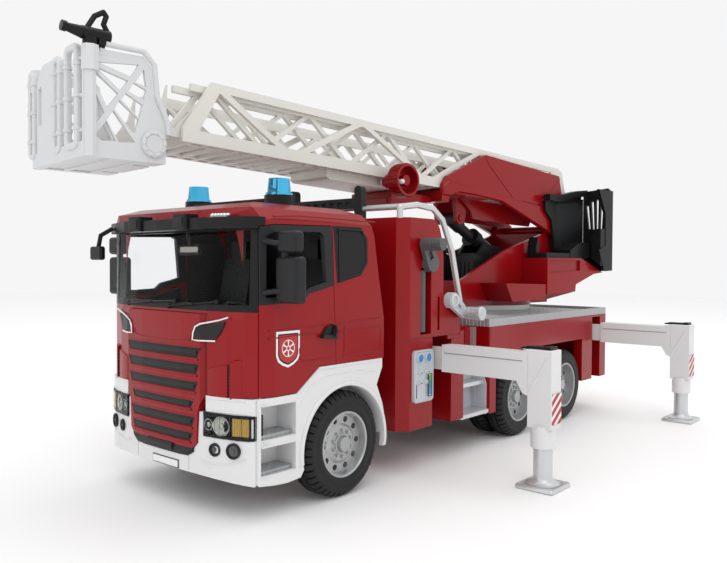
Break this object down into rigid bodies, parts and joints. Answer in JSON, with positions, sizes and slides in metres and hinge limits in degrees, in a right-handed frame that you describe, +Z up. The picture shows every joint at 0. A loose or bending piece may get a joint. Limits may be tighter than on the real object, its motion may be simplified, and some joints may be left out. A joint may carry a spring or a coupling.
{
  "type": "toy turntable ladder fire engine",
  "caption": "Toy fire engine with a turning, raising and extending rescue ladder, tilting basket, hinged cab doors, rolling wheels and sliding stabilisers.",
  "frame": {"origin": "on the ground, under the middle of the whole toy's outline", "axes": "+X towards the cab's front, +Y to the vehicle's left, +Z up"},
  "size_m": [0.5482, 0.336, 0.2874],
  "materials": {
    "red": "gloss",
    "white": "satin",
    "black": "satin",
    "dark_grey": "satin",
    "silver": "metallic satin",
    "tyre": "matte",
    "steel": "satin",
    "clear": "gloss",
    "blue_lens": "gloss, translucent",
    "lamp_clear": "gloss, translucent",
    "panel_grey": "satin"
  },
  "bodies": {
    "truck": {"axle_pins": "steel", "beacons": "blue_lens", "cab_glazing": "clear", "cab_interior": "dark_grey", "cab_shell": "red", "chassis_frame": "dark_grey", "deck": "silver", "front_bumper": "white", "front_wings": "white", "grille_panel": "red", "grille_slats": "black", "ladder_rest": "dark_grey", "lamps": "lamp_clear", "light_bar": "black", "mirrors": "black", "rear_body": "red", "side_steps": "silver", "step_treads": "silver", "tower_body": "red", "tower_controls": "panel_grey", "tower_rail": "silver", "turntable_ring": "silver", "upper_cranks": "dark_grey", "windscreen_frame": "black"},
    "turret": {"turret_body": "red", "control_stand": "black", "ram_bracket": "dark_grey"},
    "ram_barrel": {"ram_barrel": "black"},
    "ram_rod": {"ram_rod": "dark_grey"},
    "ladder": {"ladder_mount": "red", "ladder_base": "white"},
    "winch": {"winch_wheel": "red"},
    "ladder_middle": {"ladder_middle": "white"},
    "ladder_tip": {"ladder_tip": "white"},
    "basket": {"basket": "white", "basket_monitor": "black"},
    "door_left": {"door_left": "red", "door_frame_left": "dark_grey"},
    "door_right": {"door_right": "red", "door_frame_right": "dark_grey"},
    "wheel_front_left": {"tyre_front_left": "tyre", "rim_front_left": "silver"},
    "wheel_front_right": {"tyre_front_right": "tyre", "rim_front_right": "silver"},
    "wheel_middle_left": {"tyre_middle_left": "tyre", "rim_middle_left": "silver"},
    "wheel_middle_right": {"tyre_middle_right": "tyre", "rim_middle_right": "silver"},
    "wheel_rear_left": {"tyre_rear_left": "tyre", "rim_rear_left": "silver"},
    "wheel_rear_right": {"tyre_rear_right": "tyre", "rim_rear_right": "silver"},
    "beam_front_left": {"stabiliser_beam_front_left": "white"},
    "leg_front_left": {"stabiliser_leg_front_left": "silver"},
    "beam_front_right": {"stabiliser_beam_front_right": "white"},
    "leg_front_right": {"stabiliser_leg_front_right": "silver"},
    "beam_rear_left": {"stabiliser_beam_rear_left": "white"},
    "leg_rear_left": {"stabiliser_leg_rear_left": "silver"},
    "beam_rear_right": {"stabiliser_beam_rear_right": "white"},
    "leg_rear_right": {"stabiliser_leg_rear_right": "silver"}
  },
  "joints": [
    {"name": "wheel_front_left_spin", "type": "hinge", "parent": "truck", "child": "wheel_front_left", "pos_m": [0.13187, 0.06, 0.033], "axis": [0, 1, 0], "continuous": true},
    {"name": "wheel_front_right_spin", "type": "hinge", "parent": "truck", "child": "wheel_front_right", "pos_m": [0.13187, -0.06, 0.033], "axis": [0, 1, 0], "continuous": true},
    {"name": "wheel_middle_left_spin", "type": "hinge", "parent": "truck", "child": "wheel_middle_left", "pos_m": [-0.08873, 0.06, 0.033], "axis": [0, 1, 0], "continuous": true},
    {"name": "wheel_middle_right_spin", "type": "hinge", "parent": "truck", "child": "wheel_middle_right", "pos_m": [-0.08873, -0.06, 0.033], "axis": [0, 1, 0], "continuous": true},
    {"name": "wheel_rear_left_spin", "type": "hinge", "parent": "truck", "child": "wheel_rear_left", "pos_m": [-0.17503, 0.06, 0.033], "axis": [0, 1, 0], "continuous": true},
    {"name": "wheel_rear_right_spin", "type": "hinge", "parent": "truck", "child": "wheel_rear_right", "pos_m": [-0.17503, -0.06, 0.033], "axis": [0, 1, 0], "continuous": true},
    {"name": "door_left_swing", "type": "hinge", "parent": "truck", "child": "door_left", "pos_m": [0.19967, 0.0726, 0.12], "axis": [0, 0, -1], "range_deg": [0, 65]},
    {"name": "door_right_swing", "type": "hinge", "parent": "truck", "child": "door_right", "pos_m": [0.19967, -0.0726, 0.12], "axis": [0, 0, 1], "range_deg": [0, 65]},
    {"name": "turret_turn", "type": "hinge", "parent": "truck", "child": "turret", "pos_m": [-0.15313, 0, 0.108], "axis": [0, 0, 1], "continuous": true},
    {"name": "ladder_raise", "type": "hinge", "parent": "turret", "child": "ladder", "pos_m": [-0.22474, 0.00753, 0.181], "axis": [-0.1045, -0.9945, 0], "range_deg": [0, 57.5]},
    {"name": "ram_swing", "type": "hinge", "parent": "turret", "child": "ram_barrel", "pos_m": [-0.16109, 0.00084, 0.155], "axis": [-0.1045, -0.9945, 0], "range_deg": [-1, 64]},
    {"name": "ram_stroke", "type": "slide", "parent": "ram_barrel", "child": "ram_rod", "axis": [0.8779, -0.0923, 0.4698], "range_m": [-0.001, 0.0668]},
    {"name": "ladder_extend", "type": "slide", "parent": "ladder", "child": "ladder_middle", "axis": [0.9936, -0.1044, 0.0436], "range_m": [0, 0.2]},
    {"name": "tip_extend", "type": "slide", "parent": "ladder_middle", "child": "ladder_tip", "axis": [0.9936, -0.1044, 0.0436], "range_m": [0, 0.2]},
    {"name": "winch_turn", "type": "hinge", "parent": "ladder", "child": "winch", "pos_m": [0.01751, 0.02631, 0.21015], "axis": [-0.1045, -0.9945, 0], "continuous": true},
    {"name": "basket_tilt", "type": "hinge", "parent": "ladder_tip", "child": "basket", "pos_m": [0.21624, -0.03882, 0.2155], "axis": [-0.1045, -0.9945, 0], "range_deg": [-68, 15]},
    {"name": "beam_front_left_slide", "type": "slide", "parent": "truck", "child": "beam_front_left", "axis": [0, -1, 0], "range_m": [0, 0.08]},
    {"name": "leg_front_left_slide", "type": "slide", "parent": "beam_front_left", "child": "leg_front_left", "axis": [0, 0, 1], "range_m": [0, 0.018]},
    {"name": "beam_front_right_slide", "type": "slide", "parent": "truck", "child": "beam_front_right", "axis": [0, 1, 0], "range_m": [0, 0.08]},
    {"name": "leg_front_right_slide", "type": "slide", "parent": "beam_front_right", "child": "leg_front_right", "axis": [0, 0, 1], "range_m": [0, 0.018]},
    {"name": "beam_rear_left_slide", "type": "slide", "parent": "truck", "child": "beam_rear_left", "axis": [0, -1, 0], "range_m": [0, 0.08]},
    {"name": "leg_rear_left_slide", "type": "slide", "parent": "beam_rear_left", "child": "leg_rear_left", "axis": [0, 0, 1], "range_m": [0, 0.018]},
    {"name": "beam_rear_right_slide", "type": "slide", "parent": "truck", "child": "beam_rear_right", "axis": [0, 1, 0], "range_m": [0, 0.08]},
    {"name": "leg_rear_right_slide", "type": "slide", "parent": "beam_rear_right", "child": "leg_rear_right", "axis": [0, 0, 1], "range_m": [0, 0.018]}
  ],
  "couplings": [
    {"joint": "ram_swing", "follows": "ladder_raise", "ratio": 1.094},
    {"joint": "ram_stroke", "follows": "ladder_raise", "m_per_rad": 0.06558},
    {"joint": "tip_extend", "follows": "ladder_extend", "ratio": 1}
  ]
}
